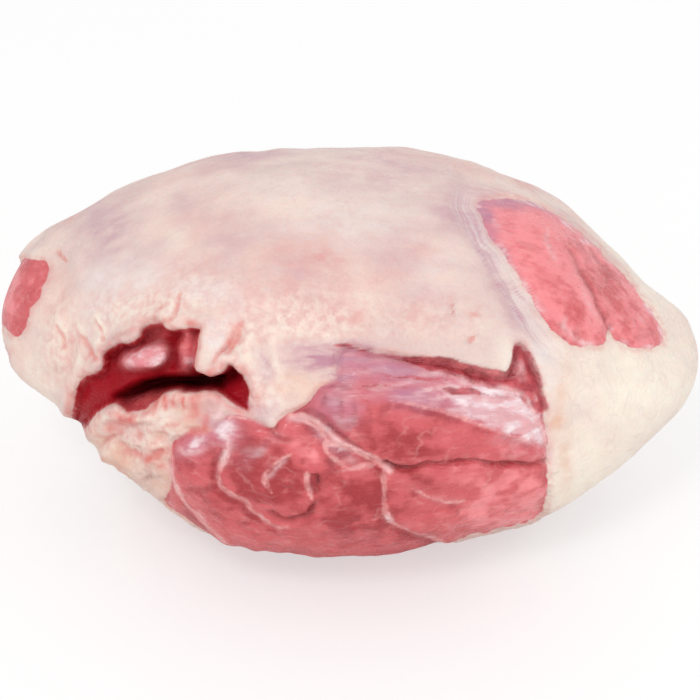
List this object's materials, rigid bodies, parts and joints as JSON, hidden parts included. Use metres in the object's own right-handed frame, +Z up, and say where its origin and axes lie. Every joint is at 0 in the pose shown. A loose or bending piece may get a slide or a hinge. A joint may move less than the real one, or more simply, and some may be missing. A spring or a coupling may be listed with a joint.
{
  "type": "raw leg of lamb",
  "caption": "Raw boneless leg of lamb with a pale fat cover, a trimmed window, bare muscles along its front and the pocket left by the bone, lying on its flat underside.",
  "frame": {"origin": "centre of the footprint box, at the height of the surface that the leg lies on", "axes": "+X along the leg towards its rump end, +Z up, -Y towards the side with the cuts and the bone's pocket"},
  "size_m": [0.239, 0.1626, 0.1224],
  "materials": {
    "raw_lamb": "moist raw meat under pale cream fat"
  },
  "bodies": {
    "root": {"lamb_leg": "raw_lamb"}
  },
  "joints": []
}
